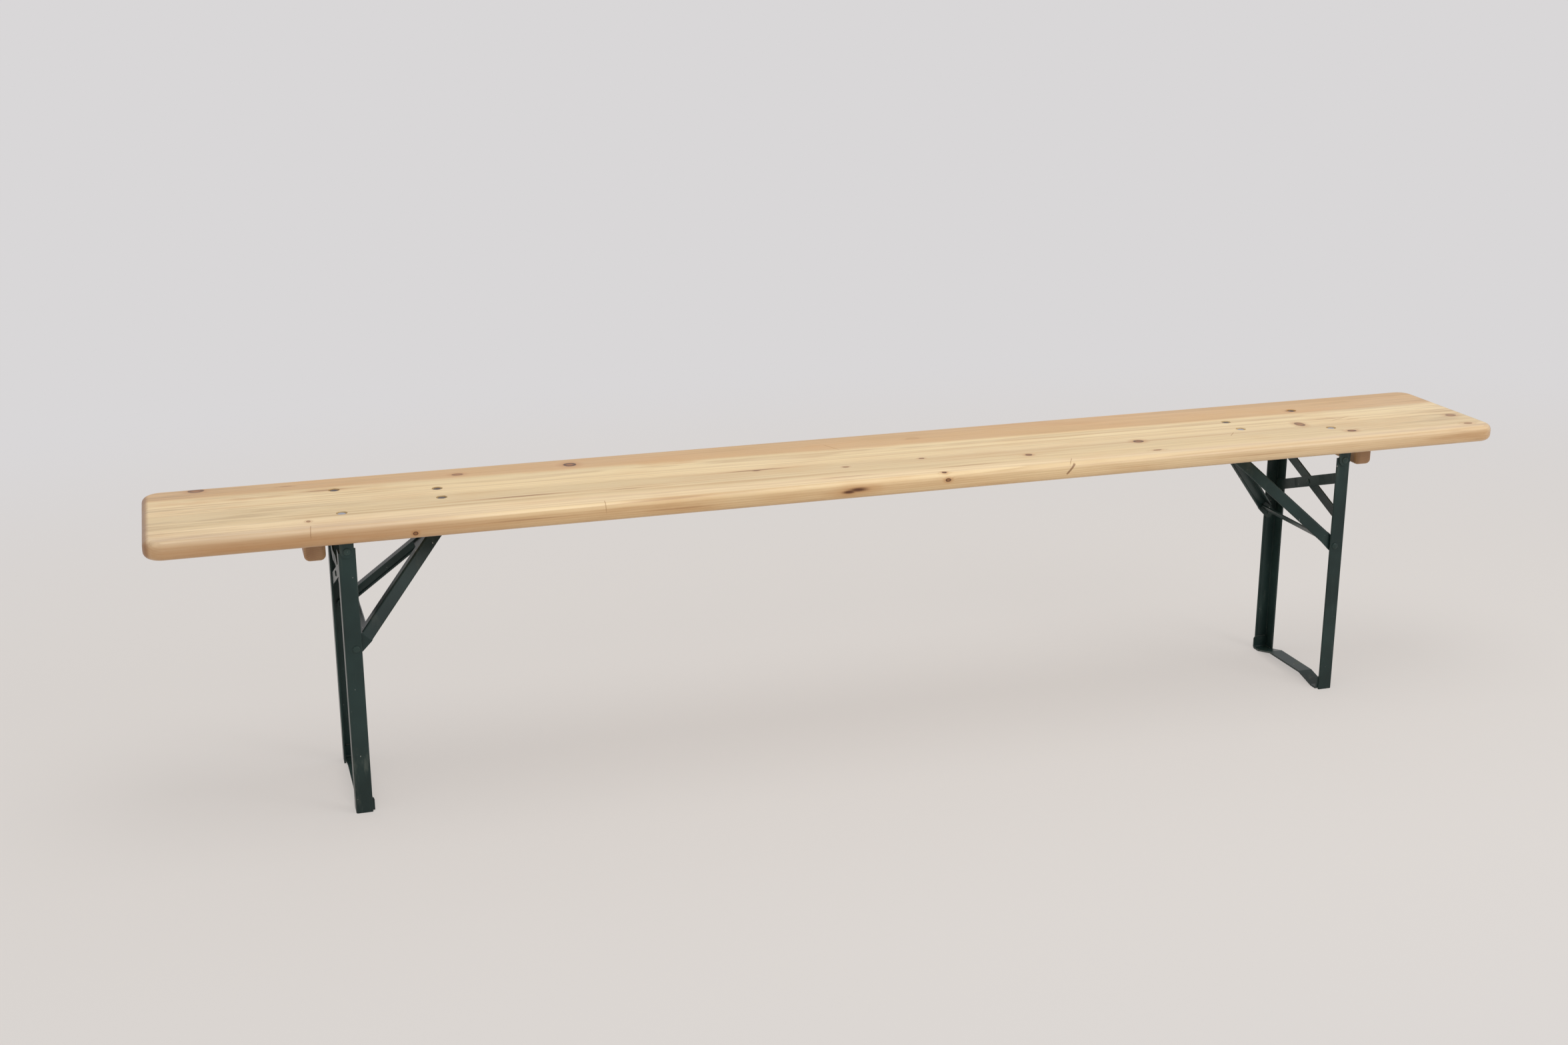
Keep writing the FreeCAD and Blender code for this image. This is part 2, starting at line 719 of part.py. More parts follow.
def seat_pieces():
    """Everything that stays with the plank."""
    whole = plank()
    hinge_places, catch_places = bolt_places()
    rivet = hinge_rivet()
    pieces = {
        "seat_board_front": board(whole, -plank_width / 2 - 1, front_joint_y),
        "seat_board_middle": board(whole, front_joint_y, rear_joint_y),
        "seat_board_rear": board(whole, rear_joint_y, plank_width / 2 + 1),
        "hinge_bolts": at_both_ends([carriage_bolt(*place) for place in hinge_places]),
        "hinge_nuts": at_both_ends([hexagon_nut(*place) for place in hinge_places]),
        "catch_bolts": at_both_ends([carriage_bolt(*place) for place in catch_places]),
        "catch_nuts": at_both_ends([hexagon_nut(*place) for place in catch_places]),
        "cleat_screws": at_both_ends([cleat_screw(cleat_middle_x, y) for y in cleat_screw_places]),
        "catch_leaf_rivets": at_both_ends([leaf_rivet()]),
    }
    pieces.update(one_per_end("cleat", cleat()))
    pieces.update(one_per_end("hinge_strap", hinge_strap()))
    pieces.update(one_per_end("hinge_rivets", group([mirrored_in_y(rivet), rivet])))
    pieces.update(one_per_end("catch_plate", catch_plate()))
    pieces.update(one_per_end("catch_leaf", catch_leaf()))
    return pieces


def one_per_end(name, right_piece):
    """The right-hand piece and its twin, named after their ends."""
    return {"right_" + name: right_piece, "left_" + name: turned_round(right_piece)}


def leg_pieces():
    """The frames that turn on the hinge straps."""
    leg = front_leg()
    rivet = brace_rivet()
    pieces = {
        "right_leg_front": leg,
        "right_leg_rear": mirrored_in_y(leg),
        "left_leg_front": turned_round(mirrored_in_y(leg)),
        "left_leg_rear": turned_round(leg),
    }
    pieces.update(one_per_end("cross_bar_outer", cross_bar(outer_bar_rise, False)))
    pieces.update(one_per_end("cross_bar_inner", cross_bar(-inner_bar_rise, True)))
    pieces.update(one_per_end("cross_rivet", cross_rivet()))
    pieces.update(one_per_end("foot_bar", foot_bar()))
    pieces.update(one_per_end("brace_rivets", group([mirrored_in_y(rivet), rivet])))
    return pieces


def brace_pieces():
    """The folding triangles."""
    front_arm = brace_arm(1)
    rear_arm = brace_arm(-1)
    pieces = {
        "right_brace_arm_front": front_arm,
        "right_brace_arm_rear": rear_arm,
        "left_brace_arm_front": turned_round(rear_arm),
        "left_brace_arm_rear": turned_round(front_arm),
    }
    pieces.update(one_per_end("brace_base_bar", base_bar()))
    pieces.update(one_per_end("brace_hook", brace_hook()))
    return pieces


def all_pieces():
    pieces = {}
    for family in (seat_pieces(), leg_pieces(), brace_pieces()):
        pieces.update(family)
    return pieces


os.makedirs("parts", exist_ok=True)
for name, shape in all_pieces().items():
    shape.exportStep("parts/" + name + ".step")
    print(name, len(shape.Solids), "solid(s)")
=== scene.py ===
"""Looks of the folding bench: a lacquered plank on dark green steel leg frames."""
import bmesh
import bpy
import json
import math
from mathutils import Matrix, Vector


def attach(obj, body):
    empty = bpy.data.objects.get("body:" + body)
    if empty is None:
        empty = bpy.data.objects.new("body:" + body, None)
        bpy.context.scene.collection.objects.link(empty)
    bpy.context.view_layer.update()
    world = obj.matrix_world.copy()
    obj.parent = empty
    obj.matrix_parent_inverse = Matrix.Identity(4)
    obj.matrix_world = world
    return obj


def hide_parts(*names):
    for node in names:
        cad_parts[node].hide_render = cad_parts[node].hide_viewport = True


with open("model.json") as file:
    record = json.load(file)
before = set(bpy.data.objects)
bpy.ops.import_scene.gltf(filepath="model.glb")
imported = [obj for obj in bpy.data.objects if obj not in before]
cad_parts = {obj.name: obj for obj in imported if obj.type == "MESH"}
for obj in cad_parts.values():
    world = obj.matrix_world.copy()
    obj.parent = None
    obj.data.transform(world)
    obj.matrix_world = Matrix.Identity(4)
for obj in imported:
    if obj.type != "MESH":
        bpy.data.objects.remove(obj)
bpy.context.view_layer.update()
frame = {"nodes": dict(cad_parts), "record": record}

# Sizes of the bench in millimetres, for its right-hand end set

MM = 0.001
PLANK_HALF = (1100.0, 136.0)
PLANK_TOP = 457.0
PLANK_UNDER = 429.0
PLAN_CORNER = 28.0
LONG_EDGE = 10.45
GLUE_JOINTS = (-38.0, 48.0)
HINGE_BOLTS = [(821.5, 63.0), (821.5, -63.0)]
CATCH_BOLTS = [(671.5, 25.0), (671.5, -25.0)]
RECESS_RADIUS = 8.25
RECESS_DEPTH = 3.8
SHANK_RADIUS = 3.0
THREAD_PAST_NUT = 1.6
HEAD_RADIUS = 7.0
HEAD_HEIGHT = 3.2
HINGE_NUT_FACE = 426.0
CATCH_NUT_FACE = 426.5
NUT_HEIGHT = 5.0
NUT_CORNER = 5.7735
CLEAT_UNDER = 398.0
CLEAT_SCREWS = [(865.5, -72.0), (865.5, 5.0), (865.5, 74.0)]

# Rivets: place in x and z, and how far out in y the crowns of a pair stand
HINGE = (821.5, 412.5)
HINGE_RIVET_OUT = 114.7
PIVOT = (817.5, 261.0)
BRACE_RIVET_OUT = 111.4
CROSSING = (824.7, 345.0)

# Welds: slopes of the crossed bars, and the lines that the beads follow
CROSS_BAR_SLOPES = (0.42, -0.335)
CROSS_BAR_FACE_X = 831.0
CROSS_BAR_EDGE = 9.3
CROSS_BEAD_Y = (86.0, 104.0)
FOOT_END_X = (808.5, 829.5)
FOOT_END_Y = 105.9
FOOT_END_Z = 22.4
FOOT_EDGE_X = 831.1
FOOT_EDGE_Y = (104.0, 88.0)
FOOT_EDGE_Z = 3.4

# The brace's own frame: from its pivot along, aside from its middle line, above its face
BRACE_LEAN = math.radians(45.67)
ARM_SLANT = math.radians(27.02)
ARM_START = (22.0, 103.5)
ARM_SHEET = 2.5
ARM_BEAD_GAP = 0.4
BASE_BAR_ALONG = (10.5, 21.0)
BASE_BAR_ASIDE = 100.6
BASE_BAR_ABOVE = (-1.2, -4.3)
HOOK_ALONG = (162.0, 205.0)
HOOK_ABOVE = 3.7


# Shader maths

class Wire:
    """A value, colour or vector on its way through a material's nodes."""

    def __init__(self, finish, socket):
        self.finish = finish
        self.socket = socket

    def _math(self, operation, first, second=None):
        sockets = {0: first}
        if second is not None:
            sockets[1] = second
        return self.finish.node("ShaderNodeMath", sockets, operation=operation)

    def __add__(self, other):
        return self._math("ADD", self, other)

    def __radd__(self, other):
        return self._math("ADD", other, self)

    def __sub__(self, other):
        return self._math("SUBTRACT", self, other)

    def __rsub__(self, other):
        return self._math("SUBTRACT", other, self)

    def __mul__(self, other):
        return self._math("MULTIPLY", self, other)

    def __rmul__(self, other):
        return self._math("MULTIPLY", other, self)

    def __truediv__(self, other):
        return self._math("DIVIDE", self, other)

    def __pow__(self, other):
        return self._math("POWER", self, other)

    def __abs__(self):
        return self._math("ABSOLUTE", self)

    def fraction(self):
        return self._math("FRACT", self)

    def root(self):
        return self._math("SQRT", self)

    def most(self, other):
        return self._math("MAXIMUM", self, other)

    def step(self, low, high):
        """Smooth change from 0 at low to 1 at high."""
        return self.finish.node("ShaderNodeMapRange", {"Value": self, 1: low, 2: high},
                                interpolation_type="SMOOTHSTEP")


class Finish:
    """One material and the nodes laid into it."""

    def __init__(self, name):
        self.material = bpy.data.materials.new(name)
        self.material.use_nodes = True
        self.tree = self.material.node_tree
        self.tree.nodes.clear()
        self.surface = self.tree.nodes.new("ShaderNodeBsdfPrincipled")
        self.output = self.tree.nodes.new("ShaderNodeOutputMaterial")
        self.tree.links.new(self.surface.outputs[0], self.output.inputs[0])
        self.place = self.node("ShaderNodeTexCoord", out="Object")

    def node(self, kind, sockets=None, out=0, stops=None, **settings):
        """Adds a node: its settings first, then what goes into its sockets."""
        made = self.tree.nodes.new(kind)
        for key, value in settings.items():
            setattr(made, key, value)
        if stops:
            ramp = made.color_ramp
            while len(ramp.elements) < len(stops):
                ramp.elements.new(1.0)
            for element, (position, tint) in zip(ramp.elements, stops):
                element.position = position
                element.color = tint
        for key, value in (sockets or {}).items():
            self.feed(made.inputs[key], value)
        return Wire(self, made.outputs[out])

    def feed(self, socket, value):
        if isinstance(value, Wire):
            self.tree.links.new(value.socket, socket)
        else:
            socket.default_value = value

    def set(self, **values):
        """Feeds the surface's own sockets, named with underscores for spaces."""
        for key, value in values.items():
            self.feed(self.surface.inputs[key.replace("_", " ")], value)

    def axes(self):
        split = self.node("ShaderNodeSeparateXYZ", {0: self.place})
        outputs = split.socket.node.outputs
        return [Wire(self, outputs[index]) for index in range(3)]

    def vector(self, x, y, z):
        return self.node("ShaderNodeCombineXYZ", {0: x, 1: y, 2: z})

    def stretched(self, x, y, z, vector=None):
        return self.node("ShaderNodeVectorMath", {0: vector or self.place, 1: (x, y, z)},
                         operation="MULTIPLY")

    def noise(self, vector, scale=1.0, detail=2.0, roughness=0.5):
        return self.node("ShaderNodeTexNoise", {"Vector": vector, "Scale": scale,
                                                "Detail": detail, "Roughness": roughness})

    def distance_to(self, place, size):
        """Distance from a place, counted in three half sizes, all given in millimetres."""
        offset = self.node("ShaderNodeVectorMath",
                           {0: self.place, 1: [value * MM for value in place]},
                           operation="SUBTRACT")
        scaled = self.stretched(*[1 / (value * MM) for value in size], vector=offset)
        return self.node("ShaderNodeVectorMath", {0: scaled}, out="Value", operation="LENGTH")

    def blend(self, first, second, amount):
        mix = self.node("ShaderNodeMix", {0: amount}, out=2, data_type="RGBA")
        sockets = mix.socket.node.inputs
        self.feed(sockets[6], first)
        self.feed(sockets[7], second)
        return mix

    def shade(self, tint, amount):
        """Colour made lighter or darker by a plain factor."""
        return self.node("ShaderNodeVectorMath", {0: tint, "Scale": amount}, operation="SCALE")

    def bump(self, height, depth, strength):
        return self.node("ShaderNodeBump",
                         {"Height": height, "Distance": depth, "Strength": strength})


def colour(red, green, blue):
    """Screen colour from 0 to 255 as the linear colour that a surface takes."""
    linear = []
    for value in (red, green, blue):
        part = value / 255
        linear.append(part / 12.92 if part <= 0.04045 else ((part + 0.055) / 1.055) ** 2.4)
    return (*linear, 1.0)


def strongest(masks):
    """The highest of several masks at each point."""
    highest = masks[0]
    for mask in masks[1:]:
        highest = highest.most(mask)
    return highest


# Wood of the plank

# Tints across the plank from its front edge to its rear edge: y, colour; the first, on the front
# face, is darker as painted shade
BAND_TINTS = [
    (-136, (211, 184, 148)),
    (-123, (234, 207, 162)),
    (-76, (238, 211, 166)),
    (-64, (225, 199, 152)),
    (-4, (223, 197, 150)),
    (10, (237, 210, 161)),
    (76, (236, 211, 162)),
    (83, (229, 198, 146)),
    (90, (214, 173, 120)),
    (136, (209, 168, 114)),
]

# Round knots: x, y, z, half length, half width, half height, darkness
KNOTS = [
    (-1021, 119, 457, 12, 9, 30, 0.85),
    (-890, 104, 457, 10, 3, 20, 0.30),
    (-631, 92, 457, 9, 6, 30, 0.70),
    (-453, 96, 457, 11, 10, 34, 0.95),
    (121, 84, 457, 12, 7, 26, 0.16),
    (90, -38, 457, 5, 3, 20, 0.85),
    (262, -70, 457, 6, 5, 24, 0.95),
    (-42, -50, 457, 5, 3, 20, 0.70),
    (469, -47, 457, 10, 8, 26, 0.90),
    (473, -106, 457, 8, 3, 18, 0.75),
    (815, 60, 457, 7, 8, 24, 0.40),
    (783, -28, 457, 8, 12, 26, 0.80),
    (843, -92, 457, 9, 6, 24, 0.90),
    (1066, -50, 457, 10, 8, 22, 0.70),
    (1060, -108, 457, 8, 5, 22, 0.65),
    (94, -126, 458, 5, 4, 4, 1.00),
    (-871, -92, 457, 3, 4, 8, 0.70),
    (-725, -136, 438, 4, 5, 3, 0.90),
    (97, -136, 447, 5, 5, 3, 0.90),
]

# Dark streaks along the grain, in the same terms
STREAKS = [
    (-835, 64, 457, 44, 4.0, 6, 0.60),
    (-558, -57, 457, 76, 2.6, 6, 0.75),
    (-397, -66, 457, 38, 2.2, 6, 0.52),
    (-1010, 37, 457, 120, 3.0, 6, 0.30),
    (-790, 34, 457, 90, 2.4, 6, 0.30),
    (-182, -25, 457, 60, 2.6, 6, 0.72),
    (-182, -27, 457, 9, 4.5, 6, 0.80),
    (-55, -103, 457, 58, 2.2, 6, 0.45),
    (145, -99, 457, 76, 3.0, 6, 0.48),
    (-345, -131, 456, 70, 2.4, 5, 0.30),
    (850, -8, 457, 40, 3.0, 6, 0.40),
    (-52, -136, 444.5, 27, 9.0, 5.2, 1.00),
    (-66, -136, 442, 16, 9.0, 4.6, 1.00),
    (-560, -136, 444, 80, 5.0, 1.6, 0.34),
    (-330, -136, 440, 70, 5.0, 1.4, 0.34),
    (640, -136, 443, 90, 5.0, 1.4, 0.22),
]

# Scratches in the lacquer: x, y, turn in degrees, half length
SCRATCHES = [
    (-25, 70, -68, 25),
    (871, -13, 24, 30),
    (890, -22, 8, 18),
    (858, -4, -35, 10),
    (-871, -128, 84, 14),
    (-445, -128, 86, 12),
    (312, -122, 60, 16),
    (640, -52, 50, 14),
]

# Gouge that climbs the front edge: x, z, turn in degrees, half length, half width
GOUGE = (306, 447, 46, 12.5, 2.1)


def on_board(rows, reach, margin):
    """Marks that lie on a board, or near enough to show on it."""
    return [row for row in rows if reach[0] - margin < row[1] < reach[1] + margin]


def along_and_aside(first, second, middle, turn):
    """Two coordinates turned to lie along and across a line through its middle."""
    cosine, sine = math.cos(math.radians(turn)), math.sin(math.radians(turn))
    first, second = first - middle[0] * MM, second - middle[1] * MM
    return first * cosine + second * sine, second * cosine - first * sine


def growth_rings(wood, pith, ring, knots, slow, wander):
    """Late wood of rings round a pith line, bent round the knots, and each year's depth."""
    x, y, z = wood.axes()
    across = y + x * 0.014 - pith[0] * MM + slow * 0.02 + wander * 0.004
    below = z - pith[1] * MM + wander * 0.004
    radius = (across * across + below * below).root()
    swirl = 0.0
    for *place, length, width, height, _ in knots:
        near = wood.distance_to(place, (length * 3.6, width * 2.6, height * 2.6))
        push = (1 - near).most(0.0)
        swirl = swirl + push * push
    rings = (radius + swirl * 0.007) / (ring * MM)
    growth = rings.fraction()
    late = (growth ** 3.0) * (1 - growth.step(0.93, 1.0))
    yearly = wood.noise(wood.vector(rings * 0.37, x * 0.6, 0.0), detail=1.0)
    return late, 0.35 + yearly * 0.9


def planed_board(wood, late, depth, fibre, slow, wander, mottle):
    """Colour of the planed board: bands of tint, rings, streaks and warm blotches."""
    x, y = wood.axes()[:2]
    half = PLANK_HALF[1]
    stops = [((place + half) / (2 * half), colour(*tint)) for place, tint in BAND_TINTS]
    drift = y + 0.007 + x.step(-1.0, 0.55) * 0.034 + slow * 0.012 + wander * 0.003
    bands = wood.node("ShaderNodeValToRGB", {0: (drift + half * MM) / (2 * half * MM)},
                      stops=stops)
    lines = wood.noise(wood.stretched(1.4, 130.0, 130.0), detail=4.0, roughness=0.68)
    cloud = wood.noise(wood.stretched(2.2, 16.0, 16.0), detail=3.0)
    patch = wood.noise(wood.stretched(5.0, 13.0, 13.0), detail=4.0, roughness=0.6)
    light = (1.04 + (cloud - 0.5) * 0.16 + (fibre - 0.5) * 0.16
             + (patch - 0.5) * (0.14 * mottle) - late * depth * 0.14)
    warm = wood.blend(wood.shade(bands, light), colour(192, 144, 88),
                      late * depth * 0.40 + lines.step(0.50, 0.72) * 0.40)
    return wood.blend(warm, colour(206, 156, 98), patch.step(0.46, 0.72) * (0.34 * mottle))


def handled_and_shaded_board(wood, planed):
    """Grime near the ends, painted sheen and painted shade on the front arris, painted shade on
    the side faces with a painted highlight towards the right, and darker end grain, darker still
    at the left end as painted shade.
    """
    x, y, z = wood.axes()
    grime = wood.noise(wood.stretched(6.0, 90.0, 90.0), detail=4.0, roughness=0.65)
    near_ends = (1 - x.step(-1.06, -0.70)).most(x.step(0.82, 1.08))
    soiled = wood.blend(planed, colour(150, 112, 66),
                        grime.step(0.44, 0.70) * (0.10 + near_ends * 0.36))
    # Painted sheen and painted shade: a darker, pinkish tone on the front strip, arris and front
    # face near both ends.
    sheen_reach = (1 - x.step(-0.80, -0.50)) * 0.50 + x.step(0.2, 0.7) * 0.30
    with_arris_sheen = wood.blend(soiled, colour(198, 168, 140), (1 - y.step(-0.127, -0.098)) * sheen_reach)
    # Painted shade on the side faces: browner than the top and deeper towards the left end,
    # lighter towards the right as a painted highlight, most near x 0.6 to 0.7; the grime noise
    # adds random tone.
    side = 1 - z.step(0.4470, 0.4556)
    left = 1 - x.step(-1.05, 0.0)
    right = x.step(0.0, 0.6) - x.step(0.7, 1.08)
    side_shade_and_tone = 0.36 + left * 0.26 - right * 0.22 + (grime - 0.5) * 0.7
    edges = wood.blend(with_arris_sheen, colour(192, 140, 88), side * side_shade_and_tone.most(0.0))
    end_grain = abs(x).step(1.0885, 1.0965)
    # End grain is darker; the extra darkening at the left end is painted shade.
    ends = wood.blend(edges, colour(142, 96, 58), end_grain * (0.50 + left * 0.30))
    lower = 1 - z.step(0.4285, 0.434)
    return wood.blend(ends, wood.shade(ends, 0.93), lower), end_grain


def marked_board(wood, plain, knots, streaks, fibre, wander):
    """Lays the knots, streaks and gouge over a board, and gives the mask of the dark marks."""
    x, y, z = wood.axes()
    marks, rims, halos = [], [], []
    for *place, length, width, height, darkness in knots:
        away = (wood.distance_to(place, (length, width, height))
                + wander * 0.6 + (fibre - 0.5) * 0.2)
        core = (1 - away.step(0.86, 1.10)) * darkness
        marks.append(core)
        rims.append(core * away.step(0.30, 0.84))
        halos.append((1 - away.step(0.9, 2.4)) * (0.55 * darkness))
    for *place, length, width, height, darkness in streaks:
        away = (wood.distance_to(place, (length, width, height))
                + wander * 0.9 + (fibre - 0.5) * 0.5)
        line = (1 - away.step(0.30, 1.05)) * darkness
        marks.append(line)
        rims.append(line * 0.7)
        halos.append((1 - away.step(0.4, 2.4)) * (darkness * 0.40))
    gouge_x, gouge_z, turn, length, width = GOUGE
    along, aside = along_and_aside(x, z, (gouge_x, gouge_z), turn)
    aside = abs(aside + wander * 0.004) / (width * MM)
    along = abs(along) / (length * MM)
    gouge = ((1 - aside.step(0.45, 1.0)) * (1 - along.step(0.70, 1.0))
             * (1 - y.step(-0.133, -0.127)))
    marks.append(gouge * 0.75)
    rims.append(gouge * 0.45)
    dark = strongest(marks)
    knot = wood.blend(colour(146, 92, 48), colour(62, 30, 12), strongest(rims))
    tinted = wood.blend(plain, colour(184, 124, 66), strongest(halos))
    return wood.blend(tinted, knot, dark), dark


def scratch_mask(wood, scratches, fibre):
    """Where the lacquer of the top is scratched."""
    x, y, z = wood.axes()
    lines = []
    for scratch_x, scratch_y, turn, length in scratches:
        along, aside = along_and_aside(x, y, (scratch_x, scratch_y), turn)
        aside = abs(aside + (fibre - 0.5) * 0.0012)
        along = abs(along) / (length * MM)
        lines.append((1 - aside.step(0.0002, 0.0011)) * (1 - along.step(0.55, 1.0)))
    return strongest(lines) * z.step(0.440, 0.450)


def plank_wood(name, pith, ring, reach, mottle):
    """Pale lacquered spruce of one board: its pith line in y and z, the width of its rings,
    its extent in y and how blotchy it is."""
    wood = Finish(name)
    slow = wood.noise(wood.stretched(1.3, 6.0, 6.0), detail=2.0) - 0.5
    wander = wood.noise(wood.stretched(3.0, 26.0, 26.0), detail=3.0) - 0.5
    fibre = wood.noise(wood.stretched(9.0, 620.0, 620.0), detail=3.0, roughness=0.6)
    knots = on_board(KNOTS, reach, 12)
    late, depth = growth_rings(wood, pith, ring, knots, slow, wander)
    planed = planed_board(wood, late, depth, fibre, slow, wander, mottle)
    plain, end_grain = handled_and_shaded_board(wood, planed)
    marked, dark = marked_board(wood, plain, knots, on_board(STREAKS, reach, 12), fibre, wander)
    scored = scratch_mask(wood, on_board(SCRATCHES, reach, 20), fibre)
    handled = wood.noise(wood.stretched(7.0, 18.0, 18.0), detail=4.0)
    relief = late * -0.5 + fibre * 0.35 - dark * 0.6 - scored * 1.5
    wood.set(Base_Color=wood.blend(marked, colour(156, 112, 70), scored * 0.6),
             Specular_IOR_Level=0.36,
             Roughness=0.38 + (handled - 0.5) * 0.22 + dark * 0.15 + scored * 0.2,
             Coat_Weight=0.24 - end_grain * 0.16,
             Coat_Roughness=0.20,
             Normal=wood.bump(relief, 0.00012, 0.6))
    return wood.material


def cleat_wood():
    """Darker, plainly planed softwood of the cleats; its grain runs across the bench."""
    wood = Finish("cleat wood")
    x, y, z = wood.axes()
    wander = wood.noise(wood.stretched(26.0, 4.0, 26.0), detail=3.0) - 0.5
    away = abs(x) - 0.858
    below = z - 0.372
    rings = ((away * away + below * below).root() + wander * 0.005) / 0.0028
    growth = rings.fraction()
    late = (growth ** 4.0) * (1 - growth.step(0.93, 1.0))
    fibre = wood.noise(wood.stretched(600.0, 9.0, 600.0), detail=3.0)
    cloud = wood.noise(wood.stretched(24.0, 7.0, 24.0), detail=3.0)
    tone = wood.blend(colour(196, 156, 112), colour(172, 130, 90), cloud.step(0.3, 0.75))
    grain = wood.blend(tone, colour(134, 92, 58), late * 0.5)
    ends = abs(y).step(0.0975, 0.1015)
    dark_ends = wood.blend(grain, colour(120, 84, 56), ends * 0.5)
    wood.set(Base_Color=wood.shade(dark_ends, 1.0 + (fibre - 0.5) * 0.16),
             Roughness=0.55 + (cloud - 0.5) * 0.15,
             Coat_Weight=0.08,
             Normal=wood.bump(late * -0.5 + fibre * 0.4, 0.0002, 0.7))
    return wood.material


# Metal finishes

def green_paint(name, tint, scuffs=1.0):
    """Dark green enamel with a faint orange peel, scuffs low on the legs and a few chips."""
    paint = Finish(name)
    z = paint.axes()[2]
    cloud = paint.noise(paint.place, scale=9.0, detail=3.0)
    fine = paint.noise(paint.place, scale=420.0, detail=2.0)
    faded = colour(*[value * 1.32 + 5 for value in tint])
    base = paint.blend(colour(*tint), faded, cloud.step(0.3, 0.75))
    rub = paint.noise(paint.stretched(38.0, 38.0, 9.0), detail=5.0, roughness=0.65)
    low = 1 - z.step(0.004, 0.16)
    rubbed = rub.step(0.54, 0.76) * (0.17 + low * 0.36) * scuffs
    dusty = paint.blend(base, colour(118, 122, 112), rubbed)
    speck = paint.noise(paint.place, scale=155.0, detail=1.0)
    chips = speck.step(0.745, 0.775) * rub.step(0.5, 0.6) * scuffs
    peel = paint.noise(paint.place, scale=650.0, detail=1.0)
    paint.set(Base_Color=paint.blend(dusty, colour(172, 172, 166), chips * 0.75),
              Specular_IOR_Level=0.27,
              Roughness=0.33 + (cloud - 0.5) * 0.16 + rubbed * 0.5 + (fine - 0.5) * 0.06,
              Normal=paint.bump(peel * 0.6 + fine * 0.2 - chips * 1.2, 0.00009, 0.7))
    return paint.material


def zinc_plate():
    """Dull zinc on the bolts with random patches of tarnish; the rear heads and the left catch
    heads are darker and brown as painted shade and dark reflection, the others pale.
    """
    plate = Finish("zinc plate")
    x, y = plate.axes()[:2]
    mottle = plate.noise(plate.place, scale=260.0, detail=3.0)
    patch = plate.noise(plate.place, scale=90.0, detail=2.0)
    # Painted shade and dark reflection on the rear heads and the left catch heads; the patch noise
    # adds random tarnish.
    rear = y.step(0.0, 0.012)
    left_catch = x.step(-0.76, -0.74) * (1 - x.step(-0.1, 0.1))
    shade_and_tarnish = rear.most(left_catch) * 0.82 + patch.step(0.5, 0.75) * 0.15
    tint = plate.blend(colour(178, 180, 190), colour(74, 58, 50), shade_and_tarnish)
    plate.set(Base_Color=plate.shade(tint, 0.92 + mottle * 0.16),
              Metallic=0.9 - shade_and_tarnish * 0.5,
              Roughness=0.42 + mottle * 0.12 + shade_and_tarnish * 0.15,
              Normal=plate.bump(mottle, 0.00005, 0.6))
    return plate.material


def blue_spring_steel():
    """Tempered strip with a dark oily blue skin."""
    strip = Finish("spring steel")
    cloud = strip.noise(strip.place, scale=70.0, detail=3.0)
    brushed = strip.noise(strip.stretched(40.0, 1500.0, 1500.0), detail=2.0)
    tint = strip.blend(colour(78, 84, 98), colour(112, 112, 118), cloud)
    strip.set(Base_Color=strip.shade(tint, 0.92 + brushed * 0.16),
              Metallic=1.0,
              Roughness=0.34 + cloud * 0.12)
    return strip.material


def weld_skin():
    """Painted weld metal, rougher and a little darker than the bars."""
    skin = Finish("painted weld")
    lump = skin.noise(skin.place, scale=700.0, detail=2.0)
    tint = skin.blend(colour(30, 40, 37), colour(48, 60, 55), lump)
    skin.set(Base_Color=tint,
             Roughness=0.42 + lump * 0.12,
             Normal=skin.bump(lump, 0.0002, 0.6))
    return skin.material


# Modelling helpers

def nothing_selected():
    if bpy.context.object and bpy.context.object.mode != "OBJECT":
        bpy.ops.object.mode_set(mode="OBJECT")
    bpy.ops.object.select_all(action="DESELECT")


def only(piece):
    nothing_selected()
    piece.select_set(True)
    bpy.context.view_layer.objects.active = piece


def settled(piece, name):
    """Puts the piece's place into its mesh and names it."""
    only(piece)
    bpy.ops.object.transform_apply(location=True, rotation=True, scale=True)
    piece.name = name
    piece.data.name = name
    return piece


def finished(piece, material, body, replaced=(), angle=40):
    """Smooths the piece, gives it its finish and lets it ride on its body."""
    only(piece)
    bpy.ops.object.shade_smooth_by_angle(angle=math.radians(angle))
    piece.data.materials.clear()
    piece.data.materials.append(material)
    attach(piece, body)
    if replaced:
        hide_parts(*replaced)


def pick(piece, edges=None, faces=None):
    """In edit mode, selects the edges or faces that pass the test."""
    only(piece)
    bpy.ops.object.mode_set(mode="EDIT")
    bpy.ops.mesh.select_mode(type="EDGE" if edges else "FACE")
    bpy.ops.mesh.select_all(action="DESELECT")
    mesh = bmesh.from_edit_mesh(piece.data)
    test = edges or faces
    for part in mesh.edges if edges else mesh.faces:
        if test(part):
            part.select_set(True)
    bmesh.update_edit_mesh(piece.data)


def done():
    bpy.ops.object.mode_set(mode="OBJECT")


def joined(parts, name):
    nothing_selected()
    for part in parts:
        part.select_set(True)
    bpy.context.view_layer.objects.active = parts[0]
    if len(parts) > 1:
        bpy.ops.object.join()
    return settled(bpy.context.object, name)


def copied(piece):
    twin = piece.copy()
    twin.data = piece.data.copy()
    bpy.context.collection.objects.link(twin)
    return twin


def carved(piece, tool, operation):
    """Cuts the piece with a tool body, or keeps only what lies inside it."""
    only(piece)
    cut = piece.modifiers.new("cut", "BOOLEAN")
    cut.operation = operation
    cut.solver = "EXACT"
    cut.object = tool
    bpy.ops.object.modifier_apply(modifier=cut.name)
    bpy.data.objects.remove(tool)


def for_both_ends(parts, name):
    """Joins the parts as the right end's piece and turns a copy round for the left end."""
    right = joined(parts, "right_" + name)
    left = copied(right)
    left.rotation_euler = (0, 0, math.pi)
    return (right, "right"), (settled(left, "left_" + name), "left")


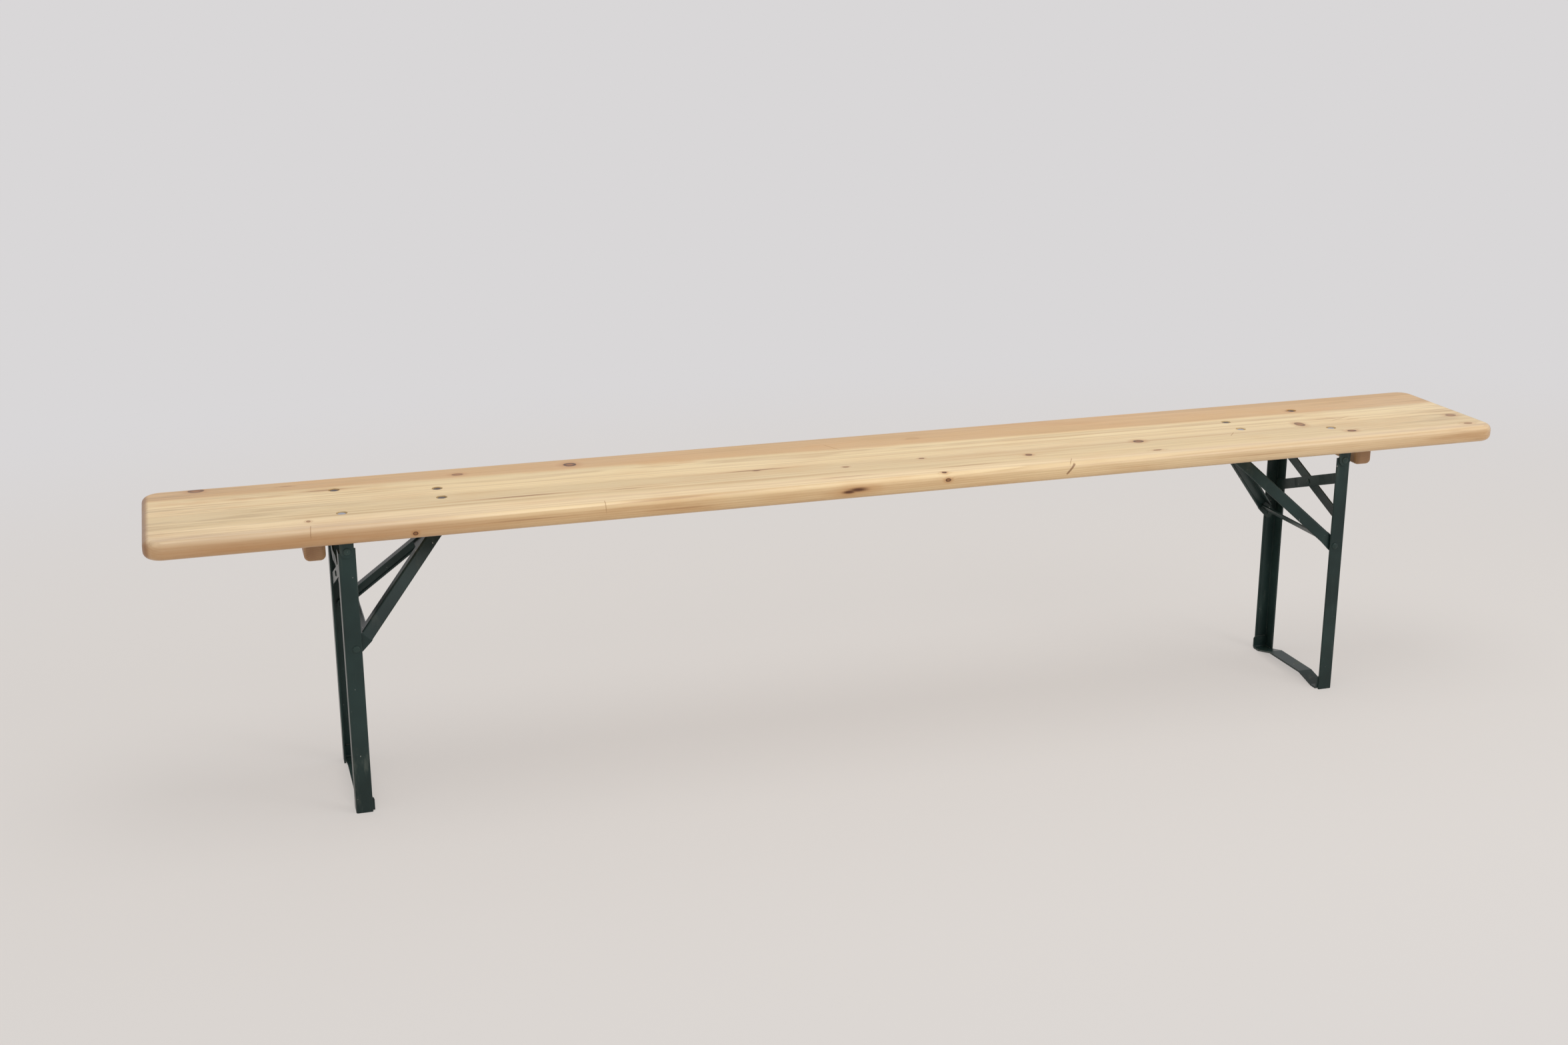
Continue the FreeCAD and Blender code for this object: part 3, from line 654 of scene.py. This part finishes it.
def lathed(rings, start, axis, sides=32):
    """Round piece drawn out ring by ring from (radius, distance) pairs, in millimetres."""
    nothing_selected()
    radius, along = rings[0]
    bpy.ops.mesh.primitive_circle_add(vertices=sides, radius=radius * MM, fill_type="NGON",
                                      location=(0, 0, along * MM))
    piece = bpy.context.object
    bpy.ops.object.transform_apply(location=True)
    bpy.ops.object.mode_set(mode="EDIT")
    bpy.ops.mesh.select_mode(type="FACE")
    bpy.ops.mesh.select_all(action="SELECT")
    for next_radius, next_along in rings[1:]:
        rise = (0, 0, (next_along - along) * MM)
        bpy.ops.mesh.extrude_region_move(TRANSFORM_OT_translate={"value": rise})
        share = next_radius / radius
        bpy.ops.transform.resize(value=(share, share, 1), center_override=(0, 0, next_along * MM))
        radius, along = next_radius, next_along
    bpy.ops.mesh.select_all(action="SELECT")
    bpy.ops.mesh.normals_make_consistent(inside=False)
    done()
    piece.rotation_euler = Vector(axis).to_track_quat("Z", "Y").to_euler()
    piece.location = [value * MM for value in start]
    return settled(piece, "round piece")


# Plank

def whole_plank():
    """The plank before it is divided: its corners and rims rounded, its recesses sunk."""
    half_x, half_y = PLANK_HALF
    nothing_selected()
    bpy.ops.mesh.primitive_cube_add(
        size=1, location=(0, 0, (PLANK_TOP + PLANK_UNDER) / 2 * MM),
        scale=(2 * half_x * MM, 2 * half_y * MM, (PLANK_TOP - PLANK_UNDER) * MM))
    plank = settled(bpy.context.object, "plank")
    pick(plank, edges=lambda edge: abs(edge.verts[0].co.z - edge.verts[1].co.z) > 0.01)
    bpy.ops.mesh.bevel(offset=PLAN_CORNER * MM, offset_type="OFFSET", segments=14, affect="EDGES")
    done()
    faces = (PLANK_TOP * MM, PLANK_UNDER * MM)
    pick(plank, edges=lambda edge: any(all(abs(vertex.co.z - face) < 1e-6 for vertex in edge.verts)
                                       for face in faces))
    bpy.ops.mesh.bevel(offset=LONG_EDGE * MM, offset_type="OFFSET", segments=8, affect="EDGES")
    done()
    floor = PLANK_TOP - RECESS_DEPTH
    hole = SHANK_RADIUS + 0.3
    lip = RECESS_RADIUS + 0.7
    rings = [(hole, PLANK_UNDER - 2), (hole, floor), (RECESS_RADIUS, floor),
             (RECESS_RADIUS, PLANK_TOP - 0.5), (lip, PLANK_TOP + 0.4), (lip, PLANK_TOP + 2)]
    drills = [lathed(rings, (side * x, side * y, 0), (0, 0, 1))
              for side in (1, -1) for x, y in HINGE_BOLTS + CATCH_BOLTS]
    carved(plank, joined(drills, "drill"), "DIFFERENCE")
    return plank


def board_of(plank, y_from, y_to, name):
    """One board cut out of the whole plank between two glue joints."""
    board = copied(plank)
    only(board)
    bpy.ops.object.mode_set(mode="EDIT")
    for level, normal in ((y_from, -1), (y_to, 1)):
        if level is not None:
            bpy.ops.mesh.select_all(action="SELECT")
            bpy.ops.mesh.bisect(plane_co=(0, level * MM, 0), plane_no=(0, normal, 0),
                                use_fill=True, clear_outer=True)
    done()
    return settled(board, name)


def make_plank():
    plank = whole_plank()
    near, far = GLUE_JOINTS
    edge = PLANK_HALF[1]
    front = board_of(plank, None, near, "front_board")
    middle = board_of(plank, near, far, "middle_board")
    rear = board_of(plank, far, None, "rear_board")
    bpy.data.objects.remove(plank)
    front_wood = plank_wood("front board wood", (-96, 372), 3.1, (-edge, near), 0.8)
    middle_wood = plank_wood("middle board wood", (34, 352), 3.4, (near, far), 0.7)
    rear_wood = plank_wood("rear board wood", (128, 388), 2.9, (far, edge), 2.0)
    finished(front, front_wood, "seat", ["seat_board_front"], 30)
    finished(middle, middle_wood, "seat", ["seat_board_middle"], 30)
    finished(rear, rear_wood, "seat", ["seat_board_rear"], 30)


# Fasteners

def carriage_bolt(x, y, nut_face):
    """Mushroom head sunk in its recess, and the shank down to its threaded end."""
    end = nut_face - NUT_HEIGHT - THREAD_PAST_NUT
    root = SHANK_RADIUS - 0.4
    rings = [(2.2, end), (2.95, end + 0.45), (root, end + 0.75), (SHANK_RADIUS, end + 1.05),
             (root, end + 1.35), (SHANK_RADIUS, end + 1.65)]
    head = PLANK_TOP - RECESS_DEPTH
    rings += [(SHANK_RADIUS, head), (HEAD_RADIUS, head), (HEAD_RADIUS, head + HEAD_HEIGHT * 0.25)]
    for step in range(1, 7):
        turn = step / 6 * math.pi / 2 * 0.96
        rings.append((HEAD_RADIUS * math.cos(turn) ** 0.75,
                      head + HEAD_HEIGHT * (0.25 + 0.75 * math.sin(turn))))
    return lathed(rings, (x, y, 0), (0, 0, 1))


def hexagon_nut(x, y, nut_face):
    """Hexagon nut with chamfered corners, bored for its bolt."""
    nothing_selected()
    bpy.ops.mesh.primitive_cylinder_add(vertices=6, radius=NUT_CORNER * MM, depth=NUT_HEIGHT * MM,
                                        location=(0, 0, -NUT_HEIGHT / 2 * MM),
                                        rotation=(0, 0, math.radians(30)))
    nut = settled(bpy.context.object, "nut")
    chamfer = lathed([(4.33, -5.3), (5.95, -4.45), (5.95, -0.55), (4.33, 0.3)],
                     (0, 0, 0), (0, 0, 1), sides=48)
    bore = lathed([(3.5, -6.0), (3.5, -4.9), (3.05, -4.5), (3.05, 1.0)], (0, 0, 0), (0, 0, 1))
    carved(nut, chamfer, "INTERSECT")
    carved(nut, bore, "DIFFERENCE")
    pick(nut, faces=lambda face: True)
    bpy.ops.mesh.remove_doubles(threshold=0.02 * MM)
    bpy.ops.mesh.dissolve_degenerate(threshold=0.01 * MM)
    done()
    nut.location = (x * MM, y * MM, nut_face * MM)
    return settled(nut, "nut")


def make_bolts(zinc):
    for name, places, nut_face in (("hinge", HINGE_BOLTS, HINGE_NUT_FACE),
                                   ("catch", CATCH_BOLTS, CATCH_NUT_FACE)):
        places = [(side * x, side * y) for side in (1, -1) for x, y in places]
        for make, kind in ((carriage_bolt, "bolt"), (hexagon_nut, "nut")):
            parts = [make(x, y, nut_face) for x, y in places]
            finished(joined(parts, name + "_" + kind + "_set"), zinc, "seat",
                     [name + "_" + kind + "s"])


def cleat_screw(x, y):
    """Countersunk screw with a cross recess in its head."""
    rings = [(4.15, 0.4), (4.2, 0.6), (2.1, 3.2), (2.1, 38.0), (0.4, 48.0)]
    screw = lathed(rings, (x, y, CLEAT_UNDER), (0, 0, 1), sides=24)
    for turn in (20, 110):
        nothing_selected()
        bpy.ops.mesh.primitive_cube_add(
            size=1, location=(x * MM, y * MM, (CLEAT_UNDER + 0.6) * MM),
            rotation=(0, 0, math.radians(turn)), scale=(4.6 * MM, 0.9 * MM, 2.2 * MM))
        carved(screw, settled(bpy.context.object, "slot"), "DIFFERENCE")
    return screw


def make_cleat_screws(zinc):
    screws = [cleat_screw(side * x, side * y) for side in (1, -1) for x, y in CLEAT_SCREWS]
    finished(joined(screws, "cleat_screw_set"), zinc, "seat", ["cleat_screws"])


def rivet_head(radius, height):
    """Rings of a domed head from its crown down to its rim."""
    low = height * 0.8
    rings = [(radius * 0.08, 0.0)]
    for step in range(1, 7):
        turn = math.pi / 2 * step / 6
        rings.append((radius * math.sin(turn), low * (1 - math.cos(turn))))
    return rings + [(radius, height)]


def rivet_tail(radius, face, height):
    """Rings of the closed end of a rivet, a little hollow in the middle."""
    return [(radius, face), (radius, face + height * 0.55), (radius * 0.86, face + height * 0.9),
            (radius * 0.6, face + height), (radius * 0.3, face + height * 0.8)]


def pair_of(rings, place, outer_y):
    """The same rivet through the front and the rear of one end set."""
    x, z = place
    return [lathed(rings, (x, -outer_y, z), (0, 1, 0)), lathed(rings, (x, outer_y, z), (0, -1, 0))]


def make_rivets(paint):
    hinge = rivet_head(5.5, 2.4) + [(3.0, 2.4), (3.0, 8.5)] + rivet_tail(5.0, 8.5, 2.0)
    shoulder = [(3.0, 2.4), (3.0, 4.9), (3.9, 4.9), (3.9, 7.6), (3.0, 7.6), (3.0, 10.7)]
    brace = rivet_head(5.5, 2.4) + shoulder + rivet_tail(5.0, 10.7, 2.0)
    cross = rivet_head(4.5, 1.8) + [(2.5, 1.8), (2.5, 6.8)] + rivet_tail(4.5, 6.8, 1.8)
    cross_x, cross_z = CROSSING
    for name, parts, on_seat in (
            ("hinge_rivets", pair_of(hinge, HINGE, HINGE_RIVET_OUT), True),
            ("brace_rivets", pair_of(brace, PIVOT, BRACE_RIVET_OUT), False),
            ("cross_rivet", [lathed(cross, (cross_x, 0, cross_z), (1, 0, 0))], False)):
        for piece, end in for_both_ends(parts, name + "_formed"):
            finished(piece, paint, "seat" if on_seat else end + "_leg",
                     [end + "_" + name])


# Welds

def weld(start, end, thickness):
    """Rippled bead of weld metal laid between two points in a corner."""
    start, end = Vector(start), Vector(end)
    length = (end - start).length
    ripples = max(3, round(length / 1.5))
    rings = [(thickness * 0.3, 0.0), (thickness * 0.8, 0.35)]
    for ripple in range(ripples):
        along = 0.7 + (length - 1.4) * (ripple + 0.5) / ripples
        rings.append((thickness * (1.0 if ripple % 2 else 0.84), along))
    rings += [(thickness * 0.75, length - 0.3), (thickness * 0.3, length)]
    return lathed(rings, start, end - start, sides=12)


def leg_welds():
    """Beads over the turned-up ends of the foot bar, along its edge and at the cross bars."""
    beads = []
    for side in (-1, 1):
        ends = [(x, side * FOOT_END_Y, FOOT_END_Z) for x in FOOT_END_X]
        beads.append(weld(*ends, 1.4))
        ends = [(FOOT_EDGE_X, side * y, FOOT_EDGE_Z) for y in FOOT_EDGE_Y]
        beads.append(weld(*ends, 1.3))
        for slope in CROSS_BAR_SLOPES:
            lean = math.atan(slope)
            for edge in (-CROSS_BAR_EDGE, CROSS_BAR_EDGE):
                ends = [(CROSS_BAR_FACE_X, side * y - edge * math.sin(lean),
                         CROSSING[1] + slope * side * y + edge * math.cos(lean))
                        for y in CROSS_BEAD_Y]
                beads.append(weld(*ends, 1.2))
    return beads


def on_brace(along, aside, above):
    """Point of the right-hand brace, from its own frame."""
    cosine, sine = math.cos(BRACE_LEAN), math.sin(BRACE_LEAN)
    return (PIVOT[0] - along * cosine + above * sine, -aside,
            PIVOT[1] + along * sine + above * cosine)


def beside_arm(along):
    """Distance from the middle line of the brace to a bead against the inside of an arm."""
    start, aside = ARM_START
    middle = aside - (along - start) * math.tan(ARM_SLANT)
    return middle - ARM_SHEET / math.cos(ARM_SLANT) - ARM_BEAD_GAP


def brace_welds():
    """Beads at both ends of the base bar and along both sides of the hook plate."""
    beads = []
    for side in (-1, 1):
        for above in BASE_BAR_ABOVE:
            ends = [on_brace(along, side * BASE_BAR_ASIDE, above) for along in BASE_BAR_ALONG]
            beads.append(weld(*ends, 1.1))
        ends = [on_brace(along, side * beside_arm(along), HOOK_ABOVE) for along in HOOK_ALONG]
        beads.append(weld(*ends, 1.1))
    return beads


def make_welds(skin):
    for beads, body in ((leg_welds(), "leg"), (brace_welds(), "brace")):
        for piece, end in for_both_ends(beads, body + "_welds"):
            finished(piece, skin, end + "_" + body, angle=60)


# Stage

BACKDROP = colour(217, 215, 216)
FLOOR_MIDDLE = (0, -4.5, 0)
FLOOR_SIZE = (60, 31)
SWEEP_HEIGHT = 9
SWEEP_RADIUS = 2.5

# Lamps: name, place, the point they face, width in metres, watts
LAMPS = [
    ("ceiling", (0.1, -0.4, 3.9), (0.1, 0, 0.3), 2.8, 38),
    ("window", (2.1, -2.3, 2.1), (0.3, 0, 0.3), 1.4, 18),
]

# Camera: place in metres, then turn to the right, dip and roll in degrees
CAMERA_PLACE = (-1.0247, -2.8697, 1.2834)
CAMERA_TURN = 17.347
CAMERA_DIP = 17.09
CAMERA_ROLL = -0.1


def make_stage():
    """Pale floor that runs up behind the bench in one sweep, seen less shaded further off."""
    nothing_selected()
    bpy.ops.mesh.primitive_plane_add(size=1, location=FLOOR_MIDDLE)
    floor = bpy.context.object
    floor.scale = (*FLOOR_SIZE, 1)
    settled(floor, "floor")
    pick(floor, edges=lambda edge: all(vertex.co.y > 10 for vertex in edge.verts))
    bpy.ops.mesh.extrude_region_move(TRANSFORM_OT_translate={"value": (0, 0, SWEEP_HEIGHT)})
    done()
    pick(floor, edges=lambda edge: all(vertex.co.y > 10 and abs(vertex.co.z) < 1e-6
                                       for vertex in edge.verts))
    bpy.ops.mesh.bevel(offset=SWEEP_RADIUS, segments=24, affect="EDGES")
    done()
    only(floor)
    bpy.ops.object.shade_smooth()
    pale = Finish("pale floor")
    pale.set(Base_Color=colour(220, 216, 211), Roughness=0.75)
    x, y = pale.axes()[:2]
    far = ((x * 0.62) * (x * 0.62) + (y - 0.1) * (y - 0.1)).root().step(0.55, 2.6)
    seen = strongest([pale.node("ShaderNodeLightPath", out=ray)
                      for ray in ("Is Camera Ray", "Is Glossy Ray", "Is Transmission Ray")])
    flat = pale.node("ShaderNodeEmission",
                     {"Color": pale.blend(colour(220, 214, 210), BACKDROP, far)})
    both = pale.node("ShaderNodeMixShader", {0: seen * (0.62 + far * 0.38), 2: flat})
    pale.tree.links.new(pale.surface.outputs[0], both.socket.node.inputs[1])
    pale.tree.links.new(both.socket, pale.output.inputs[0])
    floor.data.materials.append(pale.material)


def make_world():
    """Even white light from all round, with the backdrop's colour where it is seen."""
    world = bpy.data.worlds.new("soft room")
    bpy.context.scene.world = world
    world.use_nodes = True
    nodes, links = world.node_tree.nodes, world.node_tree.links
    light = nodes["Background"]
    light.inputs["Color"].default_value = (1.0, 1.0, 1.0, 1.0)
    light.inputs["Strength"].default_value = 0.74
    seen = nodes.new("ShaderNodeBackground")
    seen.inputs["Color"].default_value = BACKDROP
    ray = nodes.new("ShaderNodeLightPath")
    both = nodes.new("ShaderNodeMixShader")
    links.new(ray.outputs["Is Camera Ray"], both.inputs[0])
    links.new(light.outputs[0], both.inputs[1])
    links.new(seen.outputs[0], both.inputs[2])
    links.new(both.outputs[0], nodes["World Output"].inputs["Surface"])


def make_lamps():
    """One wide lamp overhead and a weaker one in front, to the right."""
    for name, place, aim, size, power in LAMPS:
        lamp = bpy.data.lights.new(name, "AREA")
        lamp.shape = "DISK"
        lamp.size = size
        lamp.energy = power
        holder = bpy.data.objects.new(name, lamp)
        bpy.context.collection.objects.link(holder)
        holder.location = place
        facing = Vector(place) - Vector(aim)
        holder.rotation_euler = facing.to_track_quat("Z", "Y").to_euler()


def make_camera():
    """Camera at the photograph's place."""
    camera = bpy.data.cameras.new("camera")
    camera.sensor_fit = "HORIZONTAL"
    camera.sensor_width = 36.0
    camera.lens = 45.2
    camera.clip_end = 100.0
    holder = bpy.data.objects.new("camera", camera)
    bpy.context.collection.objects.link(holder)
    holder.location = CAMERA_PLACE
    heading = Matrix.Rotation(math.radians(-CAMERA_TURN), 3, "Z")
    tilt = Matrix.Rotation(math.radians(90 - CAMERA_DIP), 3, "X")
    roll = Matrix.Rotation(math.radians(CAMERA_ROLL), 3, "Z")
    holder.rotation_euler = (heading @ tilt @ roll).to_euler()
    bpy.context.scene.camera = holder


def carry_over(finishes):
    """Gives every node that keeps its own shape the finish of its slot."""
    for part in frame["record"]["subparts"]:
        material = finishes.get(part["material_slot"])
        if material:
            node = frame["nodes"][part["node"]]
            node.data.materials.clear()
            node.data.materials.append(material)


paint = green_paint("green paint", (28, 43, 41))
rivet_paint = green_paint("green paint on rivets", (34, 49, 46), scuffs=1.6)
zinc = zinc_plate()
carry_over({"painted_steel": paint, "rivet_steel": rivet_paint, "plated_bolts": zinc,
            "spring_steel": blue_spring_steel(), "cleat_wood": cleat_wood()})
make_plank()
make_bolts(zinc)
make_cleat_screws(zinc)
make_rivets(rivet_paint)
make_welds(weld_skin())
make_stage()
make_world()
make_lamps()
make_camera()
bpy.context.scene.view_settings.view_transform = "Standard"
